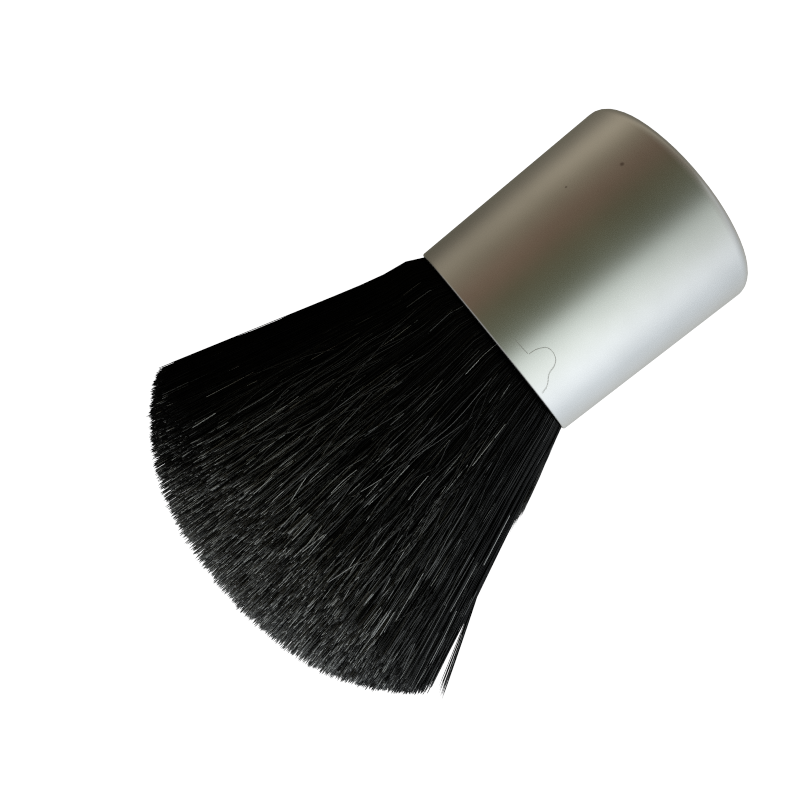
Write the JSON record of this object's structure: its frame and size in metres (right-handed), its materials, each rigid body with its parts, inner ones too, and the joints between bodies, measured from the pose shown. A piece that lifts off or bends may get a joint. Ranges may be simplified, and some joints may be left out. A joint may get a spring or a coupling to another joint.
{
  "type": "neck duster brush",
  "caption": "Short round aluminium cup handle holding a dense flared fan of straight black hair, for sweeping cut hair off a neck.",
  "frame": {"origin": "centre of the flat outer face of the handle cup's closed end", "axes": "+Z along the handle's axis from its closed end towards the hair tips; X across the wide fan, with the side that leans further out at -X; Y through the thickness of the fan"},
  "size_m": [0.0809, 0.0482, 0.1041],
  "materials": {
    "satin_aluminium": "satin",
    "glue": "satin",
    "moulded_core": "matte",
    "ring_aluminium": "satin",
    "resin": "gloss",
    "binding_wire": "satin",
    "packed_hair": "matte",
    "black_hair": "satin",
    "loose_hair": "satin"
  },
  "bodies": {
    "root": {"handle_shell": "satin_aluminium", "glue_pad": "glue", "core_insert": "moulded_core", "knot_ring": "ring_aluminium", "resin_plug": "resin", "knot_binding": "binding_wire", "bristle_root": "packed_hair", "bristle_tuft": "black_hair", "stray_lock": "loose_hair"}
  },
  "joints": []
}
